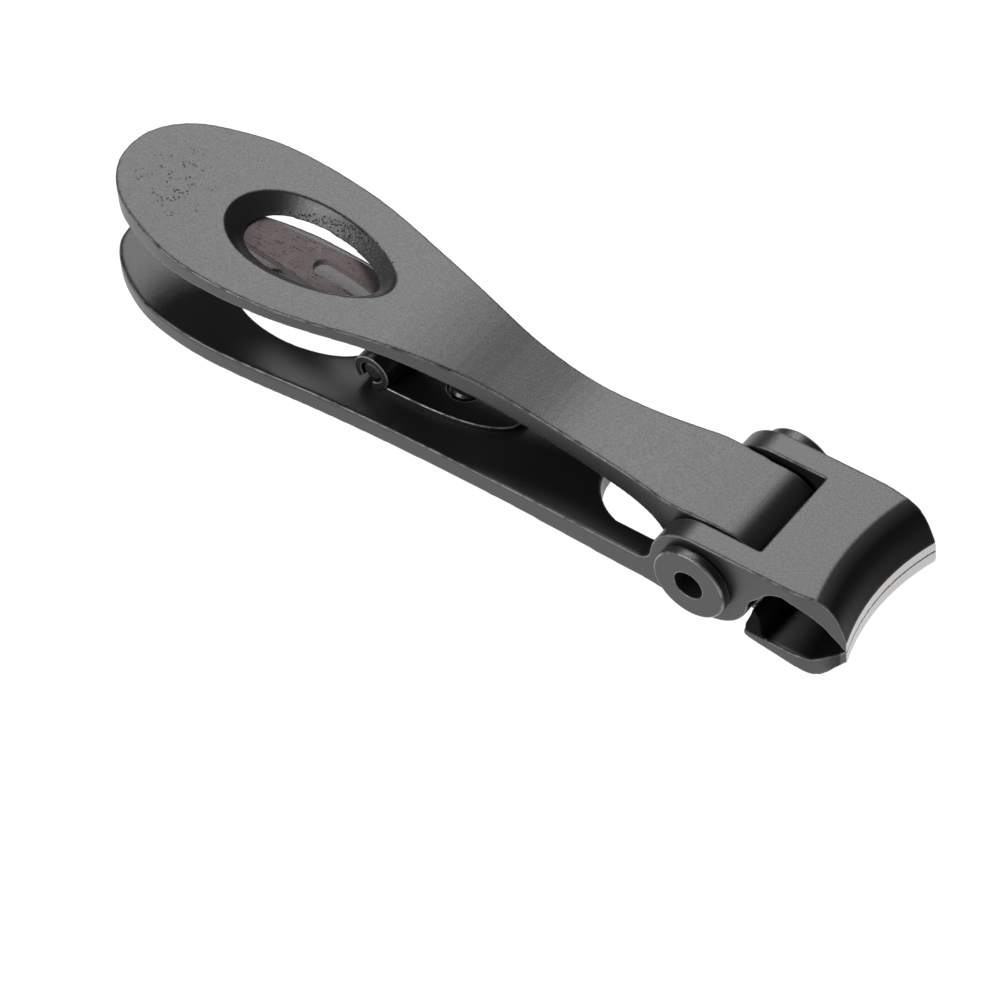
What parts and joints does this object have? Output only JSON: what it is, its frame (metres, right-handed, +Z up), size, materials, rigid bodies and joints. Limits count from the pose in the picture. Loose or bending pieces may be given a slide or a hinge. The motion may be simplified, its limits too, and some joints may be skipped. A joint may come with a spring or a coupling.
{
  "type": "nail clipper",
  "caption": "Wide jaw lever nail clipper: crossed lever on a hollow rivet, concave cutting edges, oval windows in both handles and a spring set between them.",
  "frame": {"origin": "centre of the hollow rivet that the lever turns on, jaws closed", "axes": "+X towards the cutting edge, +Y along the rivet, +Z up through the flat top of the head"},
  "size_m": [0.0925, 0.0191, 0.0168],
  "materials": {
    "black_coating": "satin",
    "black_rivet": "satin",
    "black_spring_sheet": "satin",
    "dark_steel": "satin",
    "worn_spring_steel": "rough"
  },
  "bodies": {
    "lower_handle": {"handle_and_upper_jaw": "black_coating", "pivot_rivet": "black_rivet", "pivot_rivet_cap": "black_rivet", "spring_bracket": "black_spring_sheet", "bracket_screw": "dark_steel"},
    "lever": {"lever_and_lower_jaw": "black_coating", "leaf_spring": "worn_spring_steel", "leaf_rivet": "dark_steel"},
    "roller": {"roller_pin": "dark_steel"}
  },
  "joints": [
    {"name": "lever_pivot", "type": "hinge", "parent": "lower_handle", "child": "lever", "pos_m": [0, 0, 0], "axis": [0, 1, 0], "range_deg": [0, 25]},
    {"name": "roller_spin", "type": "hinge", "parent": "lower_handle", "child": "roller", "pos_m": [-0.0412, 0, 0.00077], "axis": [0, 1, 0], "continuous": true}
  ]
}
